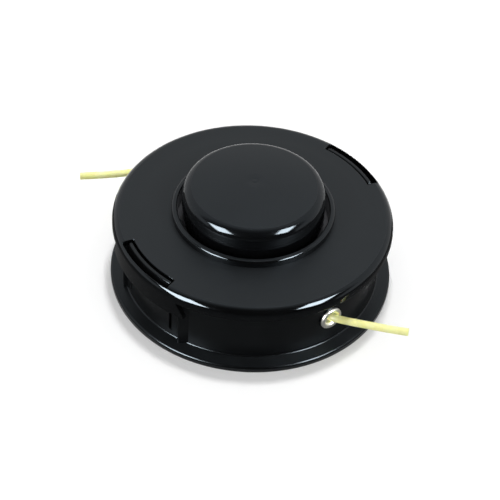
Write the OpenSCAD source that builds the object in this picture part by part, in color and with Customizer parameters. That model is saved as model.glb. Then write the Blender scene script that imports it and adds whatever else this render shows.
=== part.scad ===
// Bump-feed line head for a garden trimmer, lying on its machine side with the knob up.
// Millimetres. The origin is on the head's axis, at the plane that the flange stands on, +Z up.
// Azimuths are counted from +X towards +Y.

/* [Shell] */
// Diameter of the cover over its rim
cover_d = 112; // [108:1:136]
// How far the rim stands out over the housing's wall
rim_over = 4.5; // [3.8:0.1:6]
// How far the flange stands out past the rim
flange_out = 1.1; // [0:0.1:3]
// Height of the cover's top face above the flange's underside
head_h = 32.1; // [30:0.1:40]
// Thickness of the flange at its edge
flange_t = 2.6; // [2:0.1:3]
// Rise of the flange's upper face from its edge to the wall
flange_rise = 0.5; // [0:0.1:1]
// Thickness of the housing's floor above the recess below it
floor_t = 2.2; // [1.8:0.1:3]
// Depth of the recess below the floor
recess_h = 1.2; // [0.6:0.1:2]
// Thickness of the housing's wall
wall_t = 2.2; // [1.8:0.1:2.6]
// Thickness of the cover's top plate
plate_t = 2.2; // [1.8:0.1:2.8]
// Thickness of the rim's skin
skin_t = 2.3; // [1.8:0.1:2.6]
// Radius of the cover's rounded shoulder
shoulder_r = 3.5; // [2:0.1:4.5]
// Depth of the rim below the top face
rim_h = 5.1; // [4.6:0.1:7]
// Step of the raised middle of the top face
top_step = 0.25; // [0:0.05:0.4]
// Diameter of the raised middle of the top face
top_step_d = 86.4; // [80:0.2:92]

/* [Knob] */
// Diameter of the knob
knob_d = 56.6; // [50:0.2:68]
// Height of the knob's crown above the cover's top face
knob_rise = 16; // [13:0.1:20]
// Radius of the knob's rounded edge
knob_edge_r = 4.6; // [3:0.1:6]
// Radius of the knob's slightly domed top
knob_dome_r = 135; // [100:1:300]
// Thickness of the knob's wall
knob_wall = 2.2; // [1.8:0.1:3]
// Gap between the knob and the cover's collar
knob_gap = 2; // [1.6:0.1:2.4]
// Height of the collar above the top face
collar_h = 3.1; // [2.4:0.1:5]
// Width of the collar
collar_w = 2.2; // [1.8:0.1:3.4]
// Radius of the collar's outer edge
collar_edge_r = 1; // [0.5:0.1:1.6]

/* [Feed] */
// Travel of the knob and the spool when the knob is knocked
travel = 4; // [3:0.1:5]
// Number of ratchet lugs in each ring
lug_n = 6; // [6:1:6]
// Height of a ratchet lug
lug_h = 2.6; // [2:0.1:2.8]
// Radial width of a ratchet lug
lug_w = 6; // [4:0.1:7]
// Angle that one lug fills, in degrees
lug_deg = 13; // [8:0.5:14]
// Free height over the lugs' ends
lug_end_gap = 0.4; // [0.3:0.1:0.6]
// Wire diameter of the feed spring
spring_wire = 1.8; // [1.4:0.1:2]
// Turns of the feed spring
spring_turns = 5.5; // [4:0.5:7]

/* [Spool] */
// Outer diameter of the drum that the line is wound on
drum_d = 53; // [46:0.5:62]
// Gap between the spool's flanges and the housing's wall
spool_gap = 2.3; // [1.5:0.1:2.6]
// Thickness of the spool's two flanges
spool_flange_t = 1.6; // [1.2:0.1:2]
// Thickness of the divider between the two chambers
divider_t = 1.2; // [1:0.1:2]
// Thickness of the drum and of the web below the knob
web_t = 2; // [1.6:0.1:2.6]

/* [Hub] */
// Outer diameter of the hub that the spool runs on
hub_d = 19.2; // [18.6:0.1:20]
// Radial running clearance between the hub and the spool
hub_fit = 0.1; // [0.05:0.01:0.1]
// Outer diameter of the steel arbor's shank
arbor_d = 12.5; // [11.5:0.1:13]
// Width across the flats of the arbor's hexagon
arbor_af = 14; // [13:0.1:14.6]
// Height of the arbor's hexagon
arbor_hex_h = 5; // [3:0.1:6]
// Diameter of the threaded hole, at the crests of its thread
thread_d = 8.66; // [8:0.01:10]

/* [Latches] */
// Azimuth of the front latch; the other lies opposite
latch_az = 219.5; // [0:0.5:360]
// Half the angle of a latch tongue
tongue_half = 14.4; // [10:0.1:16]
// Width of the slits beside a tongue
slit_w = 1.1; // [0.8:0.1:2]
// Height above the flange's underside at which a slit starts
slit_z = 6; // [5:0.1:9]
// Thickness of a tongue's hook
hook_t = 2; // [1.6:0.1:2.2]
// How far the hook's nose stands out
nose = 0.9; // [0.6:0.1:1.1]
// Height of the skirt that guards a latch, below the rim's lower edge
guard_h = 6.5; // [4:0.1:8]

/* [Line] */
// Diameter of the nylon line
line_d = 3; // [2.4:0.1:3.3]
// Azimuth of the front eyelet; the other lies opposite
eyelet_az = 308; // [300:0.5:316]
// Height of the eyelets above the flange's underside
eyelet_z = 16; // [13:0.1:18]
// Diameter of an eyelet's rolled rim
eyelet_d = 9.4; // [8:0.1:11]

/* [Hidden] */
$fn = 96;

// Named clearances
seat_gap = 0.05;
slide_gap = 0.3;
pocket_gap = 0.1;
joint_lap = 0.4;

// Radii of the shell, from the rim inwards
rim_r = cover_d/2;
skin_in_r = rim_r - skin_t;
wall_r = rim_r - rim_over;
wall_in_r = wall_r - wall_t;
flange_r = rim_r + flange_out;
spool_r = wall_in_r - spool_gap;
drum_r = drum_d/2;
hub_r = hub_d/2;

// Heights of the shell
floor_z = recess_h + floor_t;
under_z = head_h - plate_t;
rim_z = head_h - rim_h;
guard_z = rim_z - guard_h;
wall_foot_z = flange_t + flange_rise;
flange_edge_r = 1;
recess_out_r = wall_in_r + 0.7;
recess_in_r = hub_r + 8.4;

// Knob, collar and the lip below it
knob_r = knob_d/2;
opening_r = knob_r + knob_gap;
collar_r = opening_r + collar_w;
collar_z = head_h + collar_h;
foot_r = 0.8;
collar_foot_r = 0.3;
lip_t = 2;
lip_h = 2.3;
knob_top_z = head_h + knob_rise;
dome_z = knob_top_z - knob_dome_r;

// The spool is pushed up against the cover and comes down by the travel
spool_top_z = under_z - lug_end_gap - lug_h;
low_lug_z = floor_z + slide_gap + travel;
spool_low_z = low_lug_z + lug_h;
web_z = spool_top_z - web_t;
chamber_h = (spool_top_z - spool_low_z - 2*spool_flange_t - divider_t)/2;
divider_z = spool_low_z + spool_flange_t + chamber_h;
lug_in_r = opening_r + lip_t + 1.7;
lug_pitch = 360/lug_n;
spigot_r = knob_r - knob_wall - 0.2;
spigot_h = 3;

// Screw below the web that holds the knob
screw_r = 2.4;
screw_len = 12;
screw_head_r = 4.2;
screw_head_h = 2.2;
screw_washer_r = 5.5;
screw_washer_t = 0.8;
boss_r = 5.2;
screw_gap = 0.9;

// Hub, arbor and clip
hub_top_z = web_z - travel - screw_washer_t - screw_head_h - screw_gap;
arbor_r = arbor_d/2;
thread_r = thread_d/2;
hex_z = hub_top_z - arbor_hex_h;
clip_r = arbor_r + 2.3;
clip_t = 1;
clip_z = 1.1;
clip_groove = 0.55;
clip_pocket_r = clip_r + 0.35;
clip_pocket_h = clip_z + clip_t + pocket_gap;
arbor_foot_z = 0.4;

// Sleeve of the spool, washer and spring around it
sleeve_in_r = hub_r + hub_fit;
sleeve_r = sleeve_in_r + 2.3;
washer_in_r = sleeve_r + 0.5;
washer_r = washer_in_r + 5;
washer_t = 1.2;
washer_z = floor_z + seat_gap;
spring_r = sleeve_r + 0.9 + spring_wire/2;
spring_low_z = washer_z + washer_t + seat_gap;
spring_top_z = web_z - slide_gap;

// Latch tongue, its hook and the slot that it stands in
hook_out_r = wall_r + 1.2;
hook_in_r = hook_out_r - hook_t;
tongue_relief = 0.1;
hook_top_z = head_h - 0.5;
hook_half = tongue_half + 0.7;
nose_z = rim_z - 0.1;
ledge_in_r = hook_out_r + slide_gap;
ledge_h = 2.4;
slot_in_r = hook_in_r - 0.8;
slot_out_r = hook_out_r + nose + 1;
slot_half = tongue_half + 1.6;
slot_z = rim_z - 0.2;
spigot_ring_r = wall_in_r - slide_gap;
slit_deg = atan(slit_w/wall_r);
guard_half = tongue_half + 6.6;
guard_slope = 3.5;

// Eyelet, measured along its own axis from the flat pad that it sits on
pad_r = wall_r + 0.4;
pad_d = eyelet_d + 1;
barrel_in_r = line_d/2 + 0.9;
barrel_r = barrel_in_r + 0.7;
barrel_len = wall_t + 0.6;
eyelet_lip = 1;
eyelet_mouth_r = 1.4;
inner_lip_r = barrel_r + 1;
inner_lip_t = 0.7;

// Routes of the two line ends in the eyelet's own frame: outwards from its pad, sideways and up
front_route = [[-3.7, 0, 0], [-1.3, 0.3, 0], [1, 1.2, 0], [2.7, 2.4, 0],
               [7.1, 6, 0], [12.6, 10.6, 0.2], [18, 15.1, 0.4], [23.2, 19.8, 0.6]];
rear_route = [[-3.7, 0, 0], [-1.3, 0.3, 0], [1, 1.2, 0], [3, 2.5, 0], [4.6, 4.4, 0], [5.8, 6.7, 0],
              [8.5, 13.8, 0.1], [11.3, 21.2, 0.2], [14.5, 28.1, 0.3], [19.4, 37.3, 0.4]];
line_sides = 8;

// Region outside a quarter circle, for rounding a corner of an outline
module corner_cut(r) {
    difference() {
        square(r + 1);
        circle(r = r);
    }
}

module ring(r0, r1, z0, z1) {
    rotate_extrude() translate([r0, z0]) square([r1 - r0, z1 - z0]);
}

module arc_block(r0, r1, z0, z1, half) {
    rotate([0, 0, -half]) rotate_extrude(angle = 2*half)
        translate([r0, z0]) square([r1 - r0, z1 - z0]);
}

// The same thing at both ends of a diameter
module both_sides(az) {
    for (turn = [0, 180]) rotate([0, 0, az + turn]) children();
}

module lug_ring(z0, z1, az) {
    for (i = [0 : lug_n - 1]) rotate([0, 0, az + i*lug_pitch])
        arc_block(lug_in_r, lug_in_r + lug_w, z0, z1, lug_deg/2);
}

// Point at a radius and an angle
function polar(r, a) = [r*cos(a), r*sin(a)];

// Tube of a few sides swept along a list of points
function along(p, i) =
    let (a = p[max(i - 1, 0)], b = p[min(i + 1, len(p) - 1)], d = b - a) d/norm(d);
module swept_tube(p, r, sides) {
    up = [0, 0, 1];
    points = [for (i = [0 : len(p) - 1], k = [0 : sides - 1])
        let (t = along(p, i), s = cross(up, t), u = s/norm(s), v = cross(t, u), a = 360*k/sides)
            p[i] + r*(cos(a)*u + sin(a)*v)];
    last = (len(p) - 1)*sides;
    side_faces = [for (i = [0 : len(p) - 2], k = [0 : sides - 1], half = [0, 1])
        let (a = i*sides + k, b = i*sides + (k + 1) % sides)
            half == 0 ? [a, b + sides, b] : [a, a + sides, b + sides]];
    first_cap = [[for (k = [0 : sides - 1]) k]];
    last_cap = [[for (k = [sides - 1 : -1 : 0]) last + k]];
    polyhedron(points, concat(side_faces, first_cap, last_cap));
}

// Housing: flange, floor, hub and wall in one moulding
module housing_outline() {
    difference() {
        union() {
            square([flange_r, flange_t]);
            square([wall_in_r + 1, floor_z]);
            translate([wall_in_r, 0]) square([wall_t, under_z - seat_gap]);
            square([hub_r, hub_top_z]);
            translate([washer_r + slide_gap, 0]) square([1.2, washer_z + washer_t]);
            polygon([
                [wall_in_r + 1, flange_t - 1], [flange_r - flange_edge_r - 0.3, flange_t - 1],
                [flange_r - flange_edge_r - 0.3, flange_t], [wall_r + foot_r, wall_foot_z],
                [wall_in_r + 1, wall_foot_z]
            ]);
            translate([wall_r, wall_foot_z]) difference() {
                square(foot_r);
                translate([foot_r, foot_r]) circle(r = foot_r);
            }
        }
        translate([flange_r - flange_edge_r, flange_t - flange_edge_r]) corner_cut(flange_edge_r);
        translate([recess_in_r, -1]) square([recess_out_r - recess_in_r, recess_h + 1]);
        translate([0, -1]) square([clip_pocket_r, clip_pocket_h + 1]);
        translate([0, -1]) square([arbor_r + seat_gap, hub_top_z + 2]);
    }
}

// Outline of a tongue in its radial plane: a little thinner than the wall, hook and nose above
module tongue_outline() {
    root_in_r = wall_in_r + tongue_relief;
    root_out_r = wall_r - tongue_relief;
    polygon([
        [root_in_r, slit_z - joint_lap], [root_out_r, slit_z - joint_lap],
        [root_out_r, guard_z + 0.5], [hook_out_r, guard_z + 2.5],
        [hook_out_r, nose_z], [hook_out_r + nose, nose_z], [hook_out_r + nose, nose_z + 0.7],
        [hook_out_r + 0.5, hook_top_z - 0.6], [hook_out_r + 0.2, hook_top_z],
        [hook_in_r + 0.3, hook_top_z], [hook_in_r, hook_top_z - 0.3],
        [hook_in_r, guard_z + 3.1], [root_in_r, guard_z + 0.9]
    ]);
}

// Outline of the finger pad on top of a hook, which is wider than the tongue
module hook_pad_outline() {
    polygon([
        [hook_in_r + 0.1, nose_z + 1.4], [hook_out_r + 0.4, nose_z + 1.4],
        [hook_out_r + 0.4, hook_top_z - 0.7], [hook_out_r + 0.1, hook_top_z - 0.1],
        [hook_in_r + 0.4, hook_top_z - 0.1], [hook_in_r + 0.1, hook_top_z - 0.4]
    ]);
}

// Ramp beside a tongue that keeps grass off it; side is 1 or -1
module latch_guard_ramp(side) {
    foot = tongue_half + 5.4;
    translate([0, 0, flange_t - joint_lap])
        linear_extrude(rim_z - 0.8 - flange_t + joint_lap)
            polygon([
                polar(wall_r - 0.8, side*foot), polar(wall_r + 1.9, side*(foot + 0.5)),
                polar(wall_r + 1.9, side*(foot + 1.2)), polar(wall_r - 0.3, side*(foot + 5.4)),
                polar(wall_r - 0.9, side*(foot + 3.2))
            ]);
}

module housing() {
    color([0.07, 0.07, 0.075]) difference() {
        union() {
            difference() {
                rotate_extrude() housing_outline();
                both_sides(latch_az)
                    arc_block(wall_in_r - 1, wall_r + 0.9, slit_z, under_z + 1, tongue_half + slit_deg);
            }
            both_sides(latch_az) {
                rotate([0, 0, -tongue_half]) rotate_extrude(angle = 2*tongue_half) tongue_outline();
                rotate([0, 0, -hook_half]) rotate_extrude(angle = 2*hook_half) hook_pad_outline();
                for (side = [-1, 1]) latch_guard_ramp(side);
            }
            both_sides(eyelet_az) translate([wall_in_r - 0.2, 0, eyelet_z])
                rotate([0, 90, 0]) cylinder(d = pad_d, h = pad_r - wall_in_r + 0.2);
            lug_ring(floor_z - joint_lap, floor_z + lug_h, -lug_pitch/4);
            for (i = [0 : 11]) rotate([0, 0, 30*i + 15])
                translate([recess_in_r - 0.5, -0.8, 0.2])
                    cube([recess_out_r - recess_in_r + 1, 1.6, recess_h]);
        }
        both_sides(eyelet_az) translate([wall_in_r - 2, 0, eyelet_z]) rotate([0, 90, 0])
            cylinder(r = barrel_r + seat_gap, h = wall_t + 6);
        translate([0, 0, hex_z]) rotate([0, 0, 30])
            cylinder(r = (arbor_af/2 + seat_gap)/cos(30), h = arbor_hex_h + 1, $fn = 6);
    }
}

// Cover: plate, collar, shoulder and rim, with the spigot that centres it in the wall
module cover_outline() {
    plate_top = head_h + top_step;
    difference() {
        union() {
            difference() {
                square([rim_r, head_h]);
                translate([rim_r - shoulder_r, head_h - shoulder_r]) corner_cut(shoulder_r);
                square([skin_in_r, under_z]);
                square([rim_r + 1, guard_z]);
            }
            polygon([[0, head_h - 0.5], [top_step_d/2 + 1.4, head_h - 0.5],
                     [top_step_d/2 + 1.4, head_h], [top_step_d/2, plate_top], [0, plate_top]]);
            difference() {
                square([collar_r, collar_z]);
                translate([collar_r - collar_edge_r, collar_z - collar_edge_r])
                    corner_cut(collar_edge_r);
                square([collar_r, under_z]);
            }
            translate([collar_r, plate_top]) difference() {
                square(collar_foot_r);
                translate([collar_foot_r, collar_foot_r]) circle(r = collar_foot_r);
            }
            translate([0, under_z - lip_h]) square([opening_r + lip_t, lip_h + joint_lap]);
        }
        translate([0, -1]) square([opening_r, collar_z + 2]);
    }
}

// What is cut from the rim's skirt, to leave a guard with sloping ends in front of each latch
module skirt_relief() {
    rim_half = rim_r*sin(guard_half);
    slope = guard_slope/guard_h;
    end_half = rim_half - guard_slope - 2*slope;
    difference() {
        ring(skin_in_r - 1, rim_r + 1, guard_z - 1, rim_z);
        both_sides(latch_az) rotate([90, 0, 90]) linear_extrude(rim_r + 5) polygon([
            [-end_half, guard_z - 2], [end_half, guard_z - 2],
            [rim_half + slope, rim_z + 1], [-rim_half - slope, rim_z + 1]
        ]);
    }
}

module cover() {
    rib_n = 30;
    color([0.07, 0.07, 0.075]) difference() {
        union() {
            difference() {
                rotate_extrude() cover_outline();
                skirt_relief();
            }
            both_sides(latch_az) arc_block(ledge_in_r, skin_in_r + joint_lap,
                                           slot_z - ledge_h, rim_z + 1, tongue_half - 1.4);
            both_sides(latch_az + 90) arc_block(spigot_ring_r - 1.5, spigot_ring_r,
                                                under_z - 2.5, under_z + joint_lap, 88 - slot_half);
            lug_ring(under_z - lug_h, under_z + joint_lap, lug_pitch/4);
            for (i = [0 : rib_n - 1]) {
                az = latch_az + (i + 0.5)*360/rib_n;
                if (abs(sin(az - latch_az)) > sin(guard_half)) rotate([0, 0, az])
                    translate([wall_r + slide_gap, -0.6, rim_z + 0.3])
                        cube([skin_in_r - wall_r + joint_lap, 1.2, under_z - rim_z]);
            }
            for (i = [0 : 11]) rotate([0, 0, 30*i]) translate([lug_in_r + lug_w + 0.6, -0.7, under_z - 1.4])
                cube([wall_in_r - lug_in_r - lug_w - 2, 1.4, 1.4 + joint_lap]);
        }
        both_sides(latch_az) arc_block(slot_in_r, slot_out_r, slot_z, head_h + 3, slot_half);
    }
}

// Knob: domed cap with a rounded edge, hollow, with a screw boss on six ribs
function knob_edge_z(inset) =
    let (r = knob_edge_r - inset, reach = knob_dome_r - inset - r, side = knob_r - inset - r)
        dome_z + sqrt(reach*reach - side*side);
module knob_outline(inset) {
    r = knob_edge_r - inset;
    side = knob_r - inset - r;
    edge_z = knob_edge_z(inset);
    touch = asin(side/(knob_dome_r - inset - r));
    arc_steps = 8;
    polygon(concat(
        [[0, spool_top_z - 1], [knob_r - inset, spool_top_z - 1]],
        [for (i = [0 : arc_steps]) let (a = i*(90 - touch)/arc_steps)
            [side + r*cos(a), edge_z + r*sin(a)]],
        [for (i = [1 : arc_steps]) let (a = touch*(1 - i/arc_steps))
            [(knob_dome_r - inset)*sin(a), dome_z + (knob_dome_r - inset)*cos(a)]]
    ));
}
module bump_knob() {
    color([0.07, 0.07, 0.075]) difference() {
        rotate_extrude() knob_outline(0);
        difference() {
            rotate_extrude() knob_outline(knob_wall);
            cylinder(r = boss_r, h = knob_top_z);
            for (i = [0 : 5]) rotate([0, 0, 60*i])
                translate([0, -0.8, collar_z + 2]) cube([knob_r, 1.6, knob_top_z]);
        }
        translate([0, 0, -1]) cylinder(r = knob_r + 1, h = spool_top_z + seat_gap + 1);
        cylinder(r = screw_r + seat_gap, h = web_z + screw_len + 1);
    }
}

// Spool: drum with three flanges, sleeve on the hub, web and locating ring below the knob
module spool() {
    color([0.13, 0.13, 0.14]) difference() {
        union() {
            ring(sleeve_in_r, sleeve_r, low_lug_z, web_z + joint_lap);
            ring(drum_r - web_t, drum_r, spool_low_z, spool_top_z);
            translate([0, 0, web_z]) cylinder(r = drum_r, h = web_t);
            ring(drum_r - joint_lap, spool_r, spool_top_z - spool_flange_t, spool_top_z);
            ring(drum_r - joint_lap, spool_r, spool_low_z, spool_low_z + spool_flange_t);
            ring(drum_r - joint_lap, spool_r - 1.5, divider_z, divider_z + divider_t);
            ring(spigot_r - 2, spigot_r, spool_top_z - joint_lap, spool_top_z + spigot_h);
            lug_ring(spool_top_z - joint_lap, spool_top_z + lug_h, 0);
            lug_ring(low_lug_z, spool_low_z + joint_lap, 0);
            for (i = [0 : 5]) rotate([0, 0, 60*i + 30])
                translate([spring_r + spring_wire, -0.8, divider_z])
                    cube([drum_r - spring_r - spring_wire - 0.5, 1.6, web_z - divider_z + 0.2]);
        }
        translate([0, 0, web_z - 1]) cylinder(r = screw_r + seat_gap, h = web_t + 2);
        for (turn = [0, 180]) rotate([0, 0, turn]) {
            translate([spool_r - 8, -line_d*0.6, divider_z - 0.5])
                cube([10, line_d*1.2, divider_t + 1]);
            translate([drum_r - web_t - 1, 0, spool_low_z + spool_flange_t + chamber_h/2])
                rotate([0, 90, 0]) cylinder(d = line_d + 0.4, h = web_t + 2);
            rotate([0, 0, 90]) translate([drum_r - web_t - 1, 0, divider_z + divider_t + chamber_h/2])
                rotate([0, 90, 0]) cylinder(d = line_d + 0.4, h = web_t + 2);
        }
    }
}

// Wound line in one chamber: the turns of the outer layer stand out as beads
module line_winding(z0) {
    bead_r = (chamber_h - 2*pocket_gap)/4;
    out_r = spool_r - 2.5 - bead_r;
    color([0.86, 0.84, 0.45]) rotate_extrude() {
        translate([drum_r + pocket_gap, z0 + pocket_gap])
            square([out_r - drum_r - pocket_gap, chamber_h - 2*pocket_gap]);
        for (k = [1, 3]) translate([out_r, z0 + pocket_gap + k*bead_r]) circle(r = bead_r);
    }
}
module line_winding_upper() { line_winding(divider_z + divider_t); }
module line_winding_lower() { line_winding(spool_low_z + spool_flange_t); }

// Feed spring: a coil with a flat-lying first and last turn
function spring_rise(t) =
    let (low = spring_low_z + spring_wire/2, high = spring_top_z - spring_wire/2, s = spring_turns,
         u = min(max((t - 0.75)/(s - 1.5), 0), 1), lie = spring_wire*1.04)
        low + lie*min(t, 0.75)/0.75 + (high - low - 2*lie)*u + lie*max(t - s + 0.75, 0)/0.75;
module feed_spring() {
    steps_per_turn = 22;
    n = round(spring_turns*steps_per_turn);
    route = [for (i = [0 : n]) let (t = spring_turns*i/n)
        [spring_r*cos(360*t), spring_r*sin(360*t), spring_rise(t)]];
    color([0.62, 0.63, 0.65]) swept_tube(route, spring_wire/2, 8);
}

module thrust_washer() {
    color([0.6, 0.61, 0.63]) ring(washer_in_r, washer_r, washer_z, washer_z + washer_t);
}

// Arbor: steel sleeve nut with a hexagon above, threaded hole and a groove for the clip below
module arbor() {
    color([0.55, 0.56, 0.58]) difference() {
        union() {
            translate([0, 0, arbor_foot_z]) cylinder(r = arbor_r, h = hub_top_z - arbor_foot_z - 0.5);
            translate([0, 0, hex_z + seat_gap]) rotate([0, 0, 30])
                cylinder(r = arbor_af/2/cos(30), h = arbor_hex_h - seat_gap, $fn = 6);
        }
        translate([0, 0, -1]) cylinder(r = thread_r, h = hub_top_z + 2);
        ring(arbor_r - clip_groove, arbor_r + 1, clip_z - seat_gap, clip_z + clip_t + seat_gap);
    }
}

// Snap ring under the hub, open on one side, with two plier holes
module arbor_clip() {
    color([0.3, 0.3, 0.32]) difference() {
        ring(arbor_r - clip_groove + seat_gap, clip_r, clip_z, clip_z + clip_t);
        translate([0, 0, clip_z - 1]) linear_extrude(clip_t + 2)
            polygon([[0, 0], polar(2*clip_r, -24), polar(2*clip_r, 24)]);
        for (side = [-1, 1]) rotate([0, 0, 33*side])
            translate([(arbor_r + clip_r)/2 + 0.2, 0, clip_z - 1]) cylinder(r = 0.7, h = clip_t + 2);
    }
}

module knob_screw() {
    head_z = web_z - screw_washer_t - screw_head_h;
    color([0.66, 0.67, 0.69]) difference() {
        union() {
            translate([0, 0, head_z]) cylinder(r = screw_head_r, h = screw_head_h);
            translate([0, 0, head_z + 1]) cylinder(r = screw_r, h = web_z + screw_len - head_z - 1);
        }
        translate([0, 0, head_z - 1]) cylinder(r = 2.3, h = 2.4, $fn = 6);
    }
}

module screw_washer() {
    color([0.6, 0.61, 0.63])
        ring(screw_r + 0.2, screw_washer_r, web_z - screw_washer_t, web_z);
}

// Eyelet: tubular rivet with a bell mouth outside and a rolled lip inside the wall
module eyelet(az) {
    color([0.74, 0.7, 0.6]) rotate([0, 0, az]) translate([pad_r, 0, eyelet_z]) rotate([0, 90, 0])
        rotate_extrude() difference() {
            union() {
                translate([0, -barrel_len]) square([barrel_r, barrel_len + eyelet_lip]);
                square([eyelet_d/2, eyelet_lip]);
                translate([0, -barrel_len - inner_lip_t]) square([inner_lip_r, inner_lip_t]);
            }
            translate([0, -barrel_len - 2]) square([barrel_in_r, barrel_len + eyelet_lip + 4]);
            translate([eyelet_d/2 - 0.6, eyelet_lip - 0.6]) corner_cut(0.6);
            translate([barrel_in_r - 1, eyelet_lip - eyelet_mouth_r]) difference() {
                square(eyelet_mouth_r + 1);
                translate([eyelet_mouth_r + 1, 0]) circle(r = eyelet_mouth_r);
            }
        }
}
module eyelet_front() { eyelet(eyelet_az); }
module eyelet_rear() { eyelet(eyelet_az - 180); }

// Free end of the line, outside its eyelet
module line_tail(route, az) {
    color([0.9, 0.88, 0.45]) rotate([0, 0, az]) translate([pad_r, 0, eyelet_z])
        swept_tube(route, line_d/2, line_sides);
}
module line_tail_front() { line_tail(front_route, eyelet_az); }
module line_tail_rear() { line_tail(rear_route, eyelet_az - 180); }

housing();
cover();
bump_knob();
spool();
line_winding_upper();
line_winding_lower();
feed_spring();
thrust_washer();
arbor();
arbor_clip();
knob_screw();
screw_washer();
eyelet_front();
eyelet_rear();
line_tail_front();
line_tail_rear();
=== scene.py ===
# %% [markdown]
# # A bump-feed trimmer head
#
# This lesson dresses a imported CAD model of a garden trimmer's line head: a housing with a
# flange, a cover held by two sprung latches, a domed knob in a collar, and a spool of nylon
# line whose two ends leave through metal eyelets.
#
# The CAD model is loaded first and never moves: it is the frame that every piece is built in.
# Gloss shows every flat triangle, so all pieces but one are built again here, from the same
# sizes and with rounded edges.

# %% Load the frame
import math

import bmesh
import bpy
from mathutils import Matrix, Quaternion, Vector


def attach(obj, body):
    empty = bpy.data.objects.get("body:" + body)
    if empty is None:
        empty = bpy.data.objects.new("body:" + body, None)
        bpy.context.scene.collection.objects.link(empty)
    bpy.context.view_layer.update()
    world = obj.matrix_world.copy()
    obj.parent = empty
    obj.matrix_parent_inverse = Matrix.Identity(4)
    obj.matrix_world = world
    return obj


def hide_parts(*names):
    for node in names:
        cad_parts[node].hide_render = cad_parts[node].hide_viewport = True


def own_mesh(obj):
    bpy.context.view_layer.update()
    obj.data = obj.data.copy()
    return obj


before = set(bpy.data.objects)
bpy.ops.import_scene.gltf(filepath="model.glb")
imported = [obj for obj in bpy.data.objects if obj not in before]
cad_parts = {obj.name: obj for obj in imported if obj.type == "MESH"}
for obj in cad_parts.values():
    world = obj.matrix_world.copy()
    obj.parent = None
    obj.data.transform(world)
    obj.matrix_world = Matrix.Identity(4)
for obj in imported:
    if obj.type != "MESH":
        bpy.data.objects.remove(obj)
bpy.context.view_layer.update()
MM = 0.001
print("CAD nodes:", ", ".join(sorted(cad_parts)))

# %% [markdown]
# ## Camera
#
# The photograph was taken from in front and above. The camera was fitted to the circles of the
# flange, the rim, the collar and the knob, and it is rolled by 3 degrees about its line of sight.
# A small lens shift puts the head where the photograph has it.

# %% Set up the camera
AIM = Vector((0, 0, 20)) * MM
CAMERA_DISTANCE = 650 * MM
CAMERA_ELEVATION = math.radians(43.07)
CAMERA_ROLL = 3.08
CAMERA_CLIP = (0.01, 20)
SENSOR_WIDTH = 36
FOCAL_PIXELS = 1615
FRAME_PIXELS = 500
SHIFT_PIXELS = (-2.08, -16.65)


def look_along(direction, roll):
    """Rotation of a camera or a lamp that looks along a direction, rolled by some degrees."""
    look = direction.to_track_quat("-Z", "Y")
    return (look @ Quaternion((0, 0, 1), math.radians(roll))).to_euler()


data = bpy.data.cameras.new("photo_camera")
data.sensor_width = SENSOR_WIDTH
data.sensor_fit = "HORIZONTAL"
data.lens = FOCAL_PIXELS * SENSOR_WIDTH / FRAME_PIXELS
data.shift_x = SHIFT_PIXELS[0] / FRAME_PIXELS
data.shift_y = SHIFT_PIXELS[1] / FRAME_PIXELS
data.clip_start, data.clip_end = CAMERA_CLIP
camera = bpy.data.objects.new("photo_camera", data)
back = Vector((0, -math.cos(CAMERA_ELEVATION), math.sin(CAMERA_ELEVATION)))
camera.location = AIM + back * CAMERA_DISTANCE
camera.rotation_euler = look_along(-back, CAMERA_ROLL)
bpy.context.scene.collection.objects.link(camera)
bpy.context.scene.camera = camera

print("Camera lens:", round(data.lens, 1), "mm")

# %% [markdown]
# ## Helpers for nodes
#
# Materials and Geometry Nodes trees are both built from nodes. These helpers add a node and give
# each of its inputs a plain value or another node's output.

# %% Node helpers
KINDS = {"SHADER": "ShaderNode", "GEOMETRY": "GeometryNode"}


def feed(node, inputs):
    """Gives inputs plain values, or joins them to sources that are written as (node, output)."""
    for name, value in inputs.items():
        if isinstance(value, tuple) and isinstance(value[0], bpy.types.Node):
            node.id_data.links.new(value[0].outputs[value[1]], node.inputs[name])
        else:
            node.inputs[name].default_value = value


def add_node(tree, kind, inputs=None, **settings):
    """New node of a kind, with its settings made before its inputs are fed."""
    node = tree.nodes.new(KINDS[tree.type] + kind)
    for name, value in settings.items():
        setattr(node, name, value)
    feed(node, inputs or {})
    return node


def new_tree(kind, name, inputs, outputs):
    """Empty node group, with its sockets given as name: (type, value or None)."""
    tree = bpy.data.node_groups.new(name, KINDS[kind] + "Tree")
    for way, sockets in (("INPUT", inputs), ("OUTPUT", outputs)):
        for socket, (form, value) in sockets.items():
            made = tree.interface.new_socket(socket, in_out=way, socket_type="NodeSocket" + form)
            if value is not None:
                made.default_value = value
    return tree, tree.nodes.new("NodeGroupInput"), tree.nodes.new("NodeGroupOutput")


print("Node helpers ready")

# %% Helpers for common shader nodes
def on_object(tree):
    """Coordinates that are fixed to the piece."""
    return add_node(tree, "TexCoord"), "Object"


def maths(tree, operation, *operands):
    """Result of a sum with numbers or sources."""
    return add_node(tree, "Math", dict(enumerate(operands)), operation=operation), 0


def noise(tree, place, scale, detail=2.0, roughness=0.5):
    """Noise on the coordinates that come out of place."""
    return add_node(tree, "TexNoise", {
        "Vector": place, "Scale": scale, "Detail": detail, "Roughness": roughness}), "Fac"


def spread(tree, source, low, high, start=0.0, end=1.0):
    """Values from low to high, as the source goes from start to end."""
    return add_node(tree, "MapRange", {
        "Value": source, "From Min": start, "From Max": end, "To Min": low, "To Max": high}), "Result"


def colour_between(tree, factor, dark, light):
    """Mix of two colours by a factor."""
    mixed = {0: factor, 6: (*dark, 1), 7: (*light, 1)}
    return add_node(tree, "Mix", mixed, data_type="RGBA"), 2


def new_material(name, shader_values):
    """Material, its tree and its shader, with plain values on the shader's own sockets."""
    material = bpy.data.materials.new(name)
    material.use_nodes = True
    shader = material.node_tree.nodes["Principled BSDF"]
    feed(shader, shader_values)
    return material, material.node_tree, shader


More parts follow.
